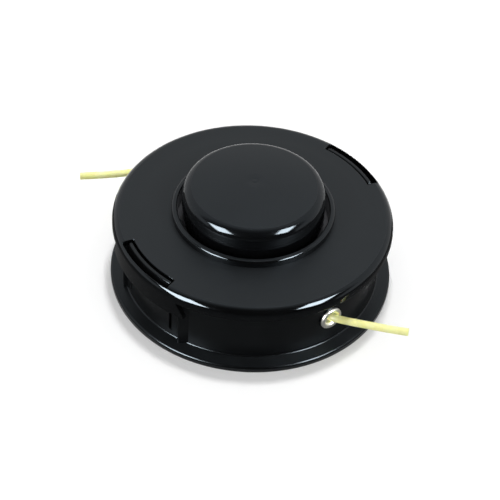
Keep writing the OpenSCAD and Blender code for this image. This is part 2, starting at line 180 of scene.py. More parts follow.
def dress(tree, shader, colour, roughness, height, relief):
    """Joins a colour, a roughness and a relief of so many millimetres to a shader."""
    bump = add_node(tree, "Bump", {
        "Strength": 1.0, "Distance": relief * MM, "Height": height})
    feed(shader, {"Base Color": colour, "Roughness": roughness, "Normal": (bump, "Normal")})


print("Shader helpers ready")

# %% [markdown]
# ## Moulded plastic
#
# The shell and the knob are black nylon. The mould leaves a very fine grain, a soft waviness and
# a gloss that changes a little from place to place. The top faces come from a finely blasted
# part of the mould, the walls are dulled by being drawn off the steel, and only the rounded
# edges are polished. The group finds these three zones from the way that the surface faces. Its
# own values are the knob's, and the other materials change them.

# %% Shader group for moulded plastic
MARKS = dict.fromkeys(("Height", "Roughness", "Shade"), ("Float", None))
PATCH_SCALE = 90.0
PATCH_SPAN = (0.3, 0.7)
TOP_FACING = (0.94, 0.975)
WALL_FACING = (0.0, 0.15)


def numbers(values):
    """Number sockets for a node group, from name: value."""
    return {name: ("Float", value) for name, value in values.items()}


SKIN, given, made = new_tree("SHADER", "moulded_skin", numbers({
    "Grain Scale": 2200.0, "Grain": 0.02, "Wave Scale": 70.0, "Wave": 0.3,
    "Gloss Low": 0.09, "Gloss High": 0.13, "Top Haze": 0.42, "Wall Haze": 0.0}), MARKS)
place = on_object(SKIN)
grain = noise(SKIN, place, (given, "Grain Scale"), 3.0)
wave = noise(SKIN, place, (given, "Wave Scale"), 1.0)
patches = noise(SKIN, place, PATCH_SCALE, 4.0, 0.6)
fine = maths(SKIN, "MULTIPLY", grain, (given, "Grain"))
relief = maths(SKIN, "MULTIPLY_ADD", wave, (given, "Wave"), fine)
normal = (add_node(SKIN, "NewGeometry"), "Normal")
facing = (add_node(SKIN, "SeparateXYZ", {"Vector": normal}), "Z")
top = spread(SKIN, facing, 0.0, 1.0, *TOP_FACING)
wall = spread(SKIN, maths(SKIN, "ABSOLUTE", facing), 1.0, 0.0, *WALL_FACING)
gloss = spread(SKIN, patches, (given, "Gloss Low"), (given, "Gloss High"), *PATCH_SPAN)
for zone, haze in ((top, "Top Haze"), (wall, "Wall Haze")):
    gloss = maths(SKIN, "MULTIPLY_ADD", zone, (given, haze), gloss)
feed(made, {"Height": relief, "Roughness": gloss, "Shade": patches})

print("Group", SKIN.name, "has", len(SKIN.nodes), "nodes")

# %% Materials of moulded plastic
COOL_GLOSS = (0.77, 0.9, 1.0)
PLASTIC_RELIEF = 0.05


def marked_material(name, group, dark, light, relief, marks, shader_values):
    """Material with colours from dark to light, and a group's marks with their own values."""
    material, tree, shader = new_material(name, shader_values)
    values = {mark.replace("_", " "): value for mark, value in marks.items()}
    skin = add_node(tree, "Group", values, node_tree=group)
    colour = colour_between(tree, (skin, "Shade"), dark, light)
    dress(tree, shader, colour, (skin, "Roughness"), (skin, "Height"), relief)
    return material


def plastic(name, dark, light, specular, **marks):
    """Moulded plastic: colours, strength of the gloss and the marks that aren't the knob's."""
    return marked_material(name, SKIN, dark, light, PLASTIC_RELIEF, marks, {
        "Specular IOR Level": specular, "Specular Tint": (*COOL_GLOSS, 1)})


SHELL_BLACK = plastic("shell_black", (0.0022, 0.0023, 0.0025), (0.004, 0.0042, 0.0045), 0.29,
                      Grain_Scale=2600.0, Grain=0.012, Wave_Scale=55.0,
                      Gloss_Low=0.06, Gloss_High=0.1, Top_Haze=0.38, Wall_Haze=0.04)
HOUSING_BLACK = plastic("housing_black", (0.0025, 0.0025, 0.0026), (0.0045, 0.0045, 0.0046), 0.24,
                        Grain_Scale=2400.0, Grain=0.08, Wave_Scale=60.0, Wave=0.8,
                        Gloss_Low=0.16, Gloss_High=0.24, Top_Haze=0.2, Wall_Haze=0.12)
KNOB_BLACK = plastic("knob_black", (0.0028, 0.003, 0.0034), (0.0048, 0.0052, 0.006), 0.26)
SPOOL_GREY = plastic("spool_grey", (0.045, 0.045, 0.048), (0.07, 0.07, 0.075), 0.4,
                     Grain_Scale=1800.0, Grain=0.5, Wave=0.6,
                     Gloss_Low=0.38, Gloss_High=0.5, Top_Haze=0.05)
print("Plastics:", SHELL_BLACK.name, HOUSING_BLACK.name, KNOB_BLACK.name, SPOOL_GREY.name)

# %% [markdown]
# ## Metal
#
# Turned, rolled and drawn metal carries fine lines from the tool, and handling dulls it in small
# patches. The group stretches a noise along one direction for the lines.

# %% Shader group and materials for worked metal
LINE_STRETCH = (0.06, 0.06, 1.0)
METAL_RELIEF = 0.01

WORKED, given, made = new_tree("SHADER", "worked_metal", numbers({
    "Line Scale": 900.0, "Spot Scale": 260.0, "Gloss Low": 0.2, "Gloss High": 0.35}), MARKS)
place = on_object(WORKED)
stretched = add_node(WORKED, "Mapping", {"Vector": place, "Scale": LINE_STRETCH})
lines = noise(WORKED, (stretched, "Vector"), (given, "Line Scale"), 3.0, 0.6)
spots = noise(WORKED, place, (given, "Spot Scale"), 4.0, 0.6)
gloss = spread(WORKED, spots, (given, "Gloss Low"), (given, "Gloss High"), *PATCH_SPAN)
feed(made, {"Height": lines, "Roughness": gloss, "Shade": spots})


def metal(name, dark, light, **marks):
    """Worked metal: colours from dark to light, and values for the group's marks."""
    return marked_material(name, WORKED, dark, light, METAL_RELIEF, marks, {"Metallic": 1.0})


SPRING_STEEL = metal("spring_steel", (0.32, 0.33, 0.35), (0.48, 0.49, 0.51),
                     Line_Scale=1500.0, Gloss_Low=0.25, Gloss_High=0.4)
PLAIN_STEEL = metal("plain_steel", (0.47, 0.48, 0.5), (0.62, 0.63, 0.65),
                    Line_Scale=2200.0, Gloss_Low=0.28, Gloss_High=0.42)
EYELET_METAL = metal("eyelet_metal", (0.78, 0.77, 0.7), (0.92, 0.91, 0.84),
                     Line_Scale=2600.0, Spot_Scale=500.0, Gloss_Low=0.3, Gloss_High=0.42)
print("Metals:", SPRING_STEEL.name, PLAIN_STEEL.name, EYELET_METAL.name)

# %% [markdown]
# ## Nylon line
#
# The line is drawn nylon, a pale yellow that lets some light in. It is smooth, with faint rings
# from the rollers and a milky haze inside. A little subsurface scattering gives the haze.

# %% Nylon material
NYLON_INSIDE = {"Subsurface Weight": 0.35, "Subsurface Radius": (1.0, 0.85, 0.35),
                "Subsurface Scale": 1.2 * MM}
NYLON_COLOURS = ((0.94, 0.94, 0.28), (0.97, 0.97, 0.56))
NYLON_GLOSS = (0.2, 0.34)
HAZE_SCALE = 220.0
RIPPLE_SCALE = 900.0
RIPPLE_RELIEF = 0.02

LINE_YELLOW, tree, shader = new_material("line_yellow", NYLON_INSIDE)
place = on_object(tree)
haze = noise(tree, place, HAZE_SCALE, 3.0, 0.55)
ripple = noise(tree, place, RIPPLE_SCALE)
dress(tree, shader, colour_between(tree, haze, *NYLON_COLOURS),
      spread(tree, haze, *NYLON_GLOSS, *PATCH_SPAN), ripple, RIPPLE_RELIEF)

print("Line material:", LINE_YELLOW.name)

# %% [markdown]
# ## A tube that follows a path
#
# The line ends, the wound line, the threads and the spring are all tubes along a path. A
# Geometry Nodes tree makes them: the path comes in as a chain of edges, turns into a curve and
# takes a round profile.

# %% Geometry Nodes tree for tubes
TUBE, given, made = new_tree("GEOMETRY", "tube_along_path", {
    "Geometry": ("Geometry", None), "Radius": ("Float", 0.0015), "Sides": ("Int", 24),
    "Material": ("Material", None)}, {"Geometry": ("Geometry", None)})
curve = add_node(TUBE, "MeshToCurve", {"Mesh": (given, "Geometry")})
profile = add_node(TUBE, "CurvePrimitiveCircle", {
    "Radius": (given, "Radius"), "Resolution": (given, "Sides")})
sweep = add_node(TUBE, "CurveToMesh", {
    "Curve": (curve, "Curve"), "Profile Curve": (profile, "Curve"), "Fill Caps": True})
smooth = add_node(TUBE, "SetShadeSmooth", {"Geometry": (sweep, "Mesh")})
realize = add_node(TUBE, "RealizeInstances", {"Geometry": (smooth, "Geometry")})
paint = add_node(TUBE, "SetMaterial", {
    "Geometry": (realize, "Geometry"), "Material": (given, "Material")})
feed(made, {"Geometry": (paint, "Geometry")})

print("Tree", TUBE.name, "has", len(TUBE.nodes), "nodes")

# %% Helpers that make and finish objects
BEVEL_ANGLE = math.radians(35)
BEVEL_SEGMENTS = 2


def link(name, mesh):
    """Object for a mesh, in the scene."""
    thing = bpy.data.objects.new(name, mesh)
    bpy.context.scene.collection.objects.link(thing)
    return thing


def tube(name, points, radius, sides, material):
    """Tube along points in metres: the tree makes it, and its result becomes a plain mesh."""
    path = bpy.data.meshes.new(name + "_path")
    path.from_pydata(points, [(i, i + 1) for i in range(len(points) - 1)], [])
    thing = link(name, path)
    modifier = thing.modifiers.new("grow", "NODES")
    modifier.node_group = TUBE
    inputs = {"Radius": radius, "Sides": sides, "Material": material}
    for item in TUBE.interface.items_tree:
        if item.in_out == "INPUT" and item.name in inputs:
            modifier[item.identifier] = inputs[item.name]
    bpy.context.view_layer.update()
    seen = thing.evaluated_get(bpy.context.evaluated_depsgraph_get())
    mesh = bpy.data.meshes.new_from_object(seen)
    mesh.name = name
    thing.modifiers.remove(modifier)
    thing.data = mesh
    return thing


def round_edges(thing, width, limit):
    """Rounds edges by so many millimetres: the sharp ones (ANGLE) or the marked ones (WEIGHT)."""
    bevel = thing.modifiers.new("edges", "BEVEL")
    bevel.width = width * MM
    bevel.segments = BEVEL_SEGMENTS
    bevel.limit_method = limit
    bevel.angle_limit = BEVEL_ANGLE
    bevel.use_clamp_overlap = False
    bevel.miter_outer = "MITER_ARC"
    weights = thing.modifiers.new("shading", "WEIGHTED_NORMAL")
    weights.keep_sharp = True


def stand_in(piece, body, node):
    """The piece rides on a body and stands for a CAD node, which is hidden."""
    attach(piece, body)
    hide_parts(node)
    return piece


print("Object helpers ready")

# %% [markdown]
# ## Places round the axis
#
# Everything on the head is placed by a radius, a height and an azimuth, because the head is
# turned round one upright axis. The eyelets have a frame of their own: outwards from the flat
# pad that they sit on, across it and up.

# %% Helpers for places
EYELET_AZ = 308
EYELET_Z = 16
PAD_R = 51.9
EYELET_TURNS = {"front": EYELET_AZ, "rear": EYELET_AZ - 180}


def turned(x, y, azimuth):
    """Point (x, y), turned about the axis by an azimuth in degrees."""
    a = math.radians(azimuth)
    return x * math.cos(a) - y * math.sin(a), x * math.sin(a) + y * math.cos(a)


def upright(radius, height, azimuth):
    """Place in metres for a shape that is turned round the head's own axis."""
    return Vector((*turned(radius, 0, azimuth), height)) * MM


def beside_eyelet(side, out, across, up):
    """Place in metres in the frame of one side's eyelet."""
    return Vector((*turned(PAD_R + out, across, EYELET_TURNS[side]), EYELET_Z + up)) * MM


def round_eyelet(side):
    """Like upright, for a shape that is turned round the axis of one side's eyelet."""
    return lambda radius, height, angle: beside_eyelet(side, height, *turned(radius, 0, angle))


print("Eyelets at azimuths", list(EYELET_TURNS.values()))

# %% [markdown]
# ## The two line ends
#
# The line is 3 mm thick and stiff. Each end comes out of its eyelet, bends with the set that the
# winding gave it and runs out almost level. The photograph cuts both ends off, so they are
# finished plainly. A smooth curve passes through the CAD model's own points.

# %% Make the line ends
LINE_R = 1.5
LINE_SIDES = 32
LINE_EDGE = 0.2
PATH_STEPS = 4
TAIL_ROUTES = {
    "front": [(-3.7, 0, 0), (-1.3, 0.3, 0), (1, 1.2, 0), (2.7, 2.4, 0),
              (7.1, 6, 0), (12.6, 10.6, 0.2), (18, 15.1, 0.4), (23.2, 19.8, 0.6)],
    "rear": [(-3.7, 0, 0), (-1.3, 0.3, 0), (1, 1.2, 0), (3, 2.5, 0), (4.6, 4.4, 0), (5.8, 6.7, 0),
             (8.5, 13.8, 0.1), (11.3, 21.2, 0.2), (14.5, 28.1, 0.3), (19.4, 37.3, 0.4)],
}


def smooth_path(points):
    """Curve through all the points, with a few steps between each pair."""
    ends = [points[0] * 2 - points[1]] + points + [points[-1] * 2 - points[-2]]
    path = []
    for a, b, c, d in zip(ends, ends[1:], ends[2:], ends[3:]):
        for step in range(PATH_STEPS):
            t = step / PATH_STEPS
            path.append(0.5 * (2 * b + (c - a) * t + (2 * a - 5 * b + 4 * c - d) * t * t
                               + (3 * b - a - 3 * c + d) * t * t * t))
    return path + [points[-1]]


def path_length(path):
    """Length along a list of points."""
    return sum((b - a).length for a, b in zip(path, path[1:]))


def make_tail(side):
    """One free end of the line, from inside its eyelet outwards."""
    path = smooth_path([beside_eyelet(side, *point) for point in TAIL_ROUTES[side]])
    tail = tube("line_end_" + side, path, LINE_R * MM, LINE_SIDES, LINE_YELLOW)
    round_edges(tail, LINE_EDGE, "ANGLE")
    stand_in(tail, "housing", "line_tail_" + side)
    print(tail.name, "is", round(path_length(path) / MM, 1), "mm long")
    return tail


tails = [make_tail(side) for side in TAIL_ROUTES]

# %% [markdown]
# ## A mesh from swept outlines
#
# The cover and the housing are turned shapes with slots, slits, tongues and guards at certain
# azimuths. Cutting these out would leave ragged meshes that shade badly, so each stretch of
# outline is swept only over the sectors where it exists. All stretches share their corners, so
# the mesh is closed. Lugs, ribs and pads are closed shapes that sink a little into it.

# %% Helpers for outlines
def shared_azimuths(breaks, step):
    """Azimuths from 0 to 360 that hold every break, with even steps between the breaks."""
    marks = sorted({round(b % 360, 4) for b in breaks})
    azimuths = []
    for here, there in zip(marks, marks[1:] + [marks[0] + 360]):
        count = max(1, math.ceil((there - here) / step - 1e-6))
        azimuths += [round((here + (there - here) * k / count) % 360, 4) for k in range(count)]
    return sorted(azimuths)


def arc(centre, radius, start, end, steps):
    """Points of an arc in the outline's plane, angles in degrees."""
    angles = [math.radians(start + (end - start) * k / steps) for k in range(steps + 1)]
    return [(centre[0] + radius * math.cos(a), centre[1] + radius * math.sin(a)) for a in angles]


def hexagon(flats, corner=30):
    """Radius of a hexagon's side at an azimuth, by its width across flats and one corner."""
    return lambda azimuth: flats / 2 / math.cos(math.radians((azimuth - corner) % 60 - 30))


def both(start, end, azimuth):
    """The same sector at an azimuth and opposite it."""
    return [(azimuth + turn + start, azimuth + turn + end) for turn in (0, 180)]


def both_at(azimuth, *offsets):
    """The same offsets at an azimuth and opposite it."""
    return [(azimuth + turn + o) % 360 for turn in (0, 180) for o in offsets]


def rectangle(radii, heights):
    """Corners of a rectangle between two radii and two heights."""
    (r0, r1), (z0, z1) = radii, heights
    return [(r0, z0), (r1, z0), (r1, z1), (r0, z1)]


print("Outline helpers ready")

# %% Class for mouldings
AZIMUTH_STEP = 1.25
BAR_STEP = 2.5
RING_SIDES = 48
RIB_HALF_T = 0.8
SHARP = math.radians(32)


class Moulding:
    """Mesh whose corners are given by radius, height and azimuth, and are shared by its faces."""

    def __init__(self, azimuths, place=upright):
        self.mesh = bmesh.new()
        self.azimuths = azimuths
        self.place = place
        self.corners = {}

    def corner(self, radius, height, azimuth):
        """The one corner at a place. A radius may be a function of the azimuth."""
        if callable(radius):
            radius = radius(azimuth)
        key = (round(radius, 3), round(height, 3), round(azimuth % 360, 3))
        if key[0] == 0:
            key = (0, key[1], 0)
        if key not in self.corners:
            self.corners[key] = self.mesh.verts.new(self.place(radius, height, azimuth))
        return self.corners[key]

    def face(self, corners):
        """Face between corners, unless it is there already or has no area."""
        ring = list(dict.fromkeys(self.corner(*c) for c in corners))
        if len(ring) > 2 and self.mesh.faces.get(ring) is None:
            self.mesh.faces.new(ring)

    def sweep(self, outline, sectors=None):
        """Faces between the points of an open outline, all round or over sectors (start, end)."""
        for here, there in zip(self.azimuths, self.azimuths[1:] + [self.azimuths[0] + 360]):
            middle = (here + there) / 2
            if sectors and not any((middle - start) % 360 < end - start for start, end in sectors):
                continue
            for (r0, z0), (r1, z1) in zip(outline, outline[1:]):
                self.face([(r0, z0, here), (r1, z1, here), (r1, z1, there), (r0, z0, there)])

    def cap(self, outline, azimuths):
        """Flat face in the radial plane of each azimuth."""
        for azimuth in azimuths:
            self.face([(r, z, azimuth) for r, z in outline])

    def skin(self, rows):
        """Quads between neighbouring rows of new corners, each row a closed loop."""
        for a, b in zip(rows, rows[1:]):
            for k in range(len(a)):
                m = (k + 1) % len(a)
                self.mesh.faces.new((a[k], a[m], b[m], b[k]))

    def bar(self, outline, start, end):
        """Separate closed bar with an outline of (radius, height), between two azimuths."""
        count = max(1, math.ceil((end - start) / BAR_STEP))
        angles = [start + (end - start) * k / count for k in range(count + 1)]
        rows = [[self.mesh.verts.new(upright(r, z, a)) for r, z in outline] for a in angles]
        self.skin(rows)
        self.mesh.faces.new(rows[0])
        self.mesh.faces.new(reversed(rows[-1]))

    def blocks(self, radii, heights, half, azimuths):
        """Separate closed blocks that reach half an angle to each side of their azimuths."""
        for azimuth in azimuths:
            self.bar(rectangle(radii, heights), azimuth - half, azimuth + half)

    def prism(self, polygon, z0, z1):
        """Separate closed prism on a polygon of (x, y) points, in millimetres."""
        low, high = [[self.mesh.verts.new(Vector((x, y, z)) * MM) for x, y in polygon]
                     for z in (z0, z1)]
        self.skin([low, high])
        self.mesh.faces.new(reversed(low))
        self.mesh.faces.new(high)

    def ribs(self, radii, heights, azimuths):
        """Separate straight ribs between two radii."""
        for azimuth in azimuths:
            plan = rectangle(radii, (-RIB_HALF_T, RIB_HALF_T))
            self.prism([turned(x, y, azimuth) for x, y in plan], *heights)

    def ring(self, place, radii, heights):
        """Separate ring; place turns a radius, a height and an angle into metres."""
        rows = [[self.mesh.verts.new(place(r, h, 360 * k / RING_SIDES))
                 for r, h in rectangle(radii, heights)] for k in range(RING_SIDES)]
        self.skin(rows + rows[:1])

    def opening(self, radii, heights, half, azimuth, beside):
        """Opening through a wall and one opposite it, with the wall at their sides."""
        for r in radii:
            self.sweep([(r, z) for z in heights], beside)
        for z in heights:
            self.sweep([(r, z) for r in radii], both(-half, half, azimuth))
        self.cap(rectangle(radii, heights), both_at(azimuth, -half, half))

    def finish(self, name, material, bevel=0.22):
        """Object with outward faces, smooth shading and rounded edges where it is convex."""
        bmesh.ops.recalc_face_normals(self.mesh, faces=self.mesh.faces)
        weight = self.mesh.edges.layers.float.new("bevel_weight_edge")
        open_edges = 0
        for edge in self.mesh.edges:
            if len(edge.link_faces) != 2:
                open_edges += 1
            elif edge.calc_face_angle_signed(0) > SHARP:
                edge[weight] = 1.0
        data = bpy.data.meshes.new(name)
        self.mesh.to_mesh(data)
        self.mesh.free()
        data.shade_smooth()
        data.set_sharp_from_angle(angle=SHARP)
        data.materials.append(material)
        thing = link(name, data)
        round_edges(thing, bevel, "WEIGHT")
        print(name, "has", len(data.polygons), "faces and", open_edges, "open edges")
        return thing


print("Mouldings are swept in steps of", AZIMUTH_STEP, "degrees")

# %% [markdown]
# ## Shared sizes
#
# These are the CAD model's own sizes in millimetres. Heights count from the plane that the
# flange stands on, and azimuths from +X towards +Y. A value that ends in HALF is half the angle
# that a feature takes up.

# %% Sizes of the shell
RIM_R = 56.0
SKIN_IN_R = 53.7
WALL_R = 51.5
WALL_IN_R = 49.3
FLANGE_R = 57.1
FLANGE_T = 2.6
WALL_FOOT_Z = 3.1
FOOT_R = 0.8
FLOOR_Z = 3.4
RECESS_H = 1.2
RECESS_R = (18.0, 50.0)
UNDER_Z = 29.9
HEAD_H = 32.1
STEP_H = 0.25
STEP_R = (43.2, 44.6)
RIM_Z = 27.0
SHOULDER_R = 3.5
OPENING_R = 30.3
OPENING_EDGE_R = 0.5
LIP_R = 32.3
LIP_Z = 27.6
COLLAR_R = 32.5
COLLAR_Z = 35.2
COLLAR_EDGE_R = 1.0
LATCH_AZ = 219.5
LATCHES = (LATCH_AZ, LATCH_AZ + 180)
SLOT_R = (49.9, 54.6)
SLOT_HALF = 16.0
GUARD_HALF = 21.0
GUARD_LOW_HALF = 17.2
GUARD_Z = 20.5
TONGUE_HALF = 14.4
HOOK_HALF = 15.1
SLIT_HALF = 15.62
SLIT_Z = 6.0
LUG_R = (34.0, 40.0)
LUG_H = 2.6
LUG_HALF = 6.5
SINK = 0.4
print("Rim", 2 * RIM_R, "mm across, top face", HEAD_H, "mm high")

# %% [markdown]
# ## Cover
#
# The cover is the glossy disc on top: a flat plate with a raised collar round the knob, a faint
# step near the edge, a rounded shoulder and a short rim that laps over the housing. Two slots in
# the shoulder show the latch hooks, and below each one a skirt with sloping ends guards the
# latch against grass.

# %% Outlines of the cover
SLOTS = both(-SLOT_HALF, SLOT_HALF, LATCH_AZ)
BESIDE_SLOTS = both(SLOT_HALF, 180 - SLOT_HALF, LATCH_AZ)
GUARDS = both(-GUARD_HALF, GUARD_HALF, LATCH_AZ)
BESIDE_GUARDS = both(GUARD_HALF, 180 - GUARD_HALF, LATCH_AZ)


def guard_place(radius, height, azimuth):
    """Place of a corner of the cover; the skirts' ends slope inwards below the rim."""
    offset = (azimuth - LATCH_AZ + 90) % 180 - 90
    if height < RIM_Z and abs(offset) > SLOT_HALF:
        share = (RIM_Z - height) / (RIM_Z - GUARD_Z)
        reach = GUARD_HALF - share * (GUARD_HALF - GUARD_LOW_HALF)
        inside = (abs(offset) - SLOT_HALF) / (GUARD_HALF - SLOT_HALF)
        moved = SLOT_HALF + inside * (reach - SLOT_HALF)
        azimuth += math.copysign(moved - abs(offset), offset)
    return upright(radius, height, azimuth)


def sweep_plate(shell):
    """The flat plate, with the lip below its opening and the collar above."""
    edge, collar_edge = OPENING_EDGE_R, COLLAR_EDGE_R
    outline = [(SLOT_R[0], UNDER_Z), (LIP_R, UNDER_Z), (LIP_R, LIP_Z), (OPENING_R, LIP_Z)]
    outline += arc((OPENING_R + edge, COLLAR_Z - edge), edge, 180, 90, 4)
    outline += arc((COLLAR_R - collar_edge, COLLAR_Z - collar_edge), collar_edge, 90, 0, 8)
    outline += [(COLLAR_R, HEAD_H + STEP_H), (STEP_R[0], HEAD_H + STEP_H), (STEP_R[1], HEAD_H),
                (SLOT_R[0], HEAD_H)]
    shell.sweep(outline)


def sweep_rim(shell):
    """The rounded shoulder with its slots, the rim and the skirts."""
    centre = (RIM_R - SHOULDER_R, HEAD_H - SHOULDER_R)
    slot_angle = math.degrees(math.acos((SLOT_R[1] - centre[0]) / SHOULDER_R))
    over_slot = [(SLOT_R[0], HEAD_H)] + arc(centre, SHOULDER_R, 90, slot_angle, 5)
    rim_side = arc(centre, SHOULDER_R, slot_angle, 0, 10) + [(RIM_R, RIM_Z)]
    under = [(SKIN_IN_R, RIM_Z), (SKIN_IN_R, UNDER_Z), (SLOT_R[0], UNDER_Z)]
    skirt = [(RIM_R, RIM_Z), (RIM_R, GUARD_Z), (SKIN_IN_R, GUARD_Z), (SKIN_IN_R, RIM_Z)]
    shell.sweep(rim_side)
    shell.sweep(over_slot, BESIDE_SLOTS)
    shell.sweep(under, BESIDE_SLOTS)
    shell.sweep([(RIM_R, RIM_Z), (SKIN_IN_R, RIM_Z)], BESIDE_GUARDS)
    shell.sweep(skirt, GUARDS)
    shell.cap(skirt, both_at(LATCH_AZ, -GUARD_HALF, GUARD_HALF))
    shell.sweep([(SLOT_R[0], HEAD_H), (SLOT_R[0], UNDER_Z)], SLOTS)
    shell.sweep([(SKIN_IN_R, RIM_Z), (SLOT_R[1], RIM_Z), rim_side[0]], SLOTS)
    shell.cap(over_slot + [(SLOT_R[1], RIM_Z)] + under, both_at(LATCH_AZ, -SLOT_HALF, SLOT_HALF))


print("Slots", round(math.radians(2 * SLOT_HALF) * SLOT_R[1], 1), "mm long at the rim")

# %% Make the cover
LEDGE = ((SKIN_IN_R - 0.7, SKIN_IN_R + SINK), (RIM_Z - 2.6, RIM_Z - 0.2), 13.0)
CENTRING_RING = ((47.5, 49.0), (UNDER_Z - 2.5, UNDER_Z + SINK), 72.0)
COVER_LUG = (LUG_R, (UNDER_Z - LUG_H, UNDER_Z + SINK), LUG_HALF)
RIM_FIN = ((51.8, 54.1), (RIM_Z + 0.3, UNDER_Z + 0.3), 0.65)
COVER_LUGS = range(15, 360, 60)
RIM_FINS = [azimuth + 30 + 12 * k for azimuth in LATCHES for k in range(11)]
PLATE_RIB = ((40.6, 47.9), (UNDER_Z - 1.4, UNDER_Z + SINK), 0.9)
PLATE_RIBS = range(0, 360, 30)

breaks = both_at(LATCH_AZ, -GUARD_HALF, -SLOT_HALF, SLOT_HALF, GUARD_HALF)
shell = Moulding(shared_azimuths(breaks, AZIMUTH_STEP), guard_place)
sweep_plate(shell)
sweep_rim(shell)
shell.blocks(*LEDGE, LATCHES)
shell.blocks(*CENTRING_RING, [azimuth + 90 for azimuth in LATCHES])
shell.blocks(*COVER_LUG, COVER_LUGS)
shell.blocks(*RIM_FIN, RIM_FINS)
shell.blocks(*PLATE_RIB, PLATE_RIBS)
stand_in(shell.finish("cover_shell", SHELL_BLACK), "housing", "cover")

# %% [markdown]
# ## Housing
#
# The housing is a cup with a flange at its foot. The hub stands in the middle, the line leaves
# through two eyelets in the wall, and two strips of the wall are cut free at their sides to
# spring as latch tongues. Each tongue ends in a hook whose nose catches under the cover. The
# hooks' tops fall away towards the rim, as the dark slot at the photograph's back shows.

# %% Sizes of the housing
HUB_R = 9.6
HUB_TOP_Z = 17.0
HUB_BORE_R = 6.3
HEX_Z = 12.0
HEX_AF = 14.1
POCKET = (8.9, 2.2)
RING_R = (17.8, 19.0)
RING_Z = 4.65
FLANGE_EDGE_R = 1.0
WINDOW_HALF = 3.67
WINDOW_Z = (12.7, 19.3)
EYELET_PAD_R = (3.15, 5.2)
EYELET_PAD_OUT = (WALL_IN_R - 0.2 - PAD_R, 0)
WALL_TOP_Z = 29.85
TONGUE = [(WALL_R, SLIT_Z), (WALL_R, 21.0), (52.7, 23.0), (52.7, 26.9), (53.6, 26.9), (53.6, 27.6),
          (53.3, 28.6), (52.1, 31.6), (51.0, 31.6), (50.7, 31.3), (50.7, 23.6), (WALL_IN_R, 21.4),
          (WALL_IN_R, SLIT_Z)]
HOOK_PAD = [(50.8, 28.3), (53.1, 28.3), (52.0, 31.5), (50.8, 31.5)]
GUARD_POST = [(50.7, 19.8), (53.4, 20.3), (53.4, 21.0), (51.2, 25.2), (50.6, 23.0)]
GUARD_POST_Z = (2.2, RIM_Z - 0.8)
HOUSING_LUG = (LUG_R, (FLOOR_Z - SINK, FLOOR_Z + LUG_H), LUG_HALF)
HOUSING_LUGS = range(-15, 345, 60)
FLOOR_RIB_R = (RECESS_R[0] - 0.5, RECESS_R[1] + 0.5)
FLOOR_RIB_Z = (0.2, RECESS_H + 0.2)
FLOOR_RIBS = range(15, 375, 30)
WALL = both(SLIT_HALF, 180 - SLIT_HALF, LATCH_AZ)
SLITS = both(TONGUE_HALF, SLIT_HALF, LATCH_AZ) + both(-SLIT_HALF, -TONGUE_HALF, LATCH_AZ)
TONGUES = both(-TONGUE_HALF, TONGUE_HALF, LATCH_AZ)
BESIDE_WINDOWS = [(start + turn, end + turn) for turn in (0, 180) for start, end in (
    (LATCH_AZ + SLIT_HALF, EYELET_AZ - WINDOW_HALF),
    (EYELET_AZ + WINDOW_HALF, LATCH_AZ + 180 - SLIT_HALF))]
print("Latch tongues at azimuths", LATCHES)

# %% Outlines of the housing
def sweep_foot(shell):
    """The flange with the recess below it, and inside it the floor and the hub."""
    outside = [(POCKET[0], 0), (RECESS_R[0], 0), (RECESS_R[0], RECESS_H), (RECESS_R[1], RECESS_H),
               (RECESS_R[1], 0), (FLANGE_R, 0)]
    outside += arc((FLANGE_R - FLANGE_EDGE_R, FLANGE_T - FLANGE_EDGE_R), FLANGE_EDGE_R, 0, 90, 6)
    outside += [(FLANGE_R - FLANGE_EDGE_R - 0.3, FLANGE_T)]
    outside += arc((WALL_R + FOOT_R, WALL_FOOT_Z + FOOT_R), FOOT_R, 270, 180, 6)
    shell.sweep(outside + [(WALL_R, SLIT_Z)])
    socket = hexagon(HEX_AF)
    shell.sweep([(WALL_IN_R, SLIT_Z), (WALL_IN_R, FLOOR_Z), (RING_R[1], FLOOR_Z),
                 (RING_R[1], RING_Z), (RING_R[0], RING_Z), (RING_R[0], FLOOR_Z),
                 (HUB_R, FLOOR_Z), (HUB_R, HUB_TOP_Z), (socket, HUB_TOP_Z), (socket, HEX_Z),
                 (HUB_BORE_R, HEX_Z), (HUB_BORE_R, POCKET[1]), POCKET, (POCKET[0], 0)])


def sweep_wall(shell):
    """The wall, with a window for each eyelet and a slit at each side of a tongue."""
    radii = (WALL_R, WALL_IN_R)
    levels = (SLIT_Z, *WINDOW_Z, WALL_TOP_Z)
    for r in radii:
        shell.sweep([(r, z) for z in levels[:2]], WALL)
        shell.sweep([(r, z) for z in levels[2:]], WALL)
    shell.opening(radii, WINDOW_Z, WINDOW_HALF, EYELET_AZ, BESIDE_WINDOWS)
    shell.sweep([(r, WALL_TOP_Z) for r in radii], WALL)
    shell.sweep([(r, SLIT_Z) for r in radii], SLITS)
    shell.cap([(WALL_R, z) for z in levels] + [(WALL_IN_R, z) for z in reversed(levels)],
              both_at(LATCH_AZ, -SLIT_HALF, SLIT_HALF))


def add_latches(shell):
    """The sprung tongues with their hooks, and the posts that guard their sides."""
    shell.sweep(TONGUE, TONGUES)
    shell.cap(TONGUE, both_at(LATCH_AZ, -TONGUE_HALF, TONGUE_HALF))
    for azimuth in LATCHES:
        shell.bar(HOOK_PAD, azimuth - HOOK_HALF, azimuth + HOOK_HALF)
        for side in (-1, 1):
            plan = [turned(r, 0, azimuth + side * offset) for r, offset in GUARD_POST]
            shell.prism(plan, *GUARD_POST_Z)


print("Guard posts up to", GUARD_POST_Z[1], "mm")

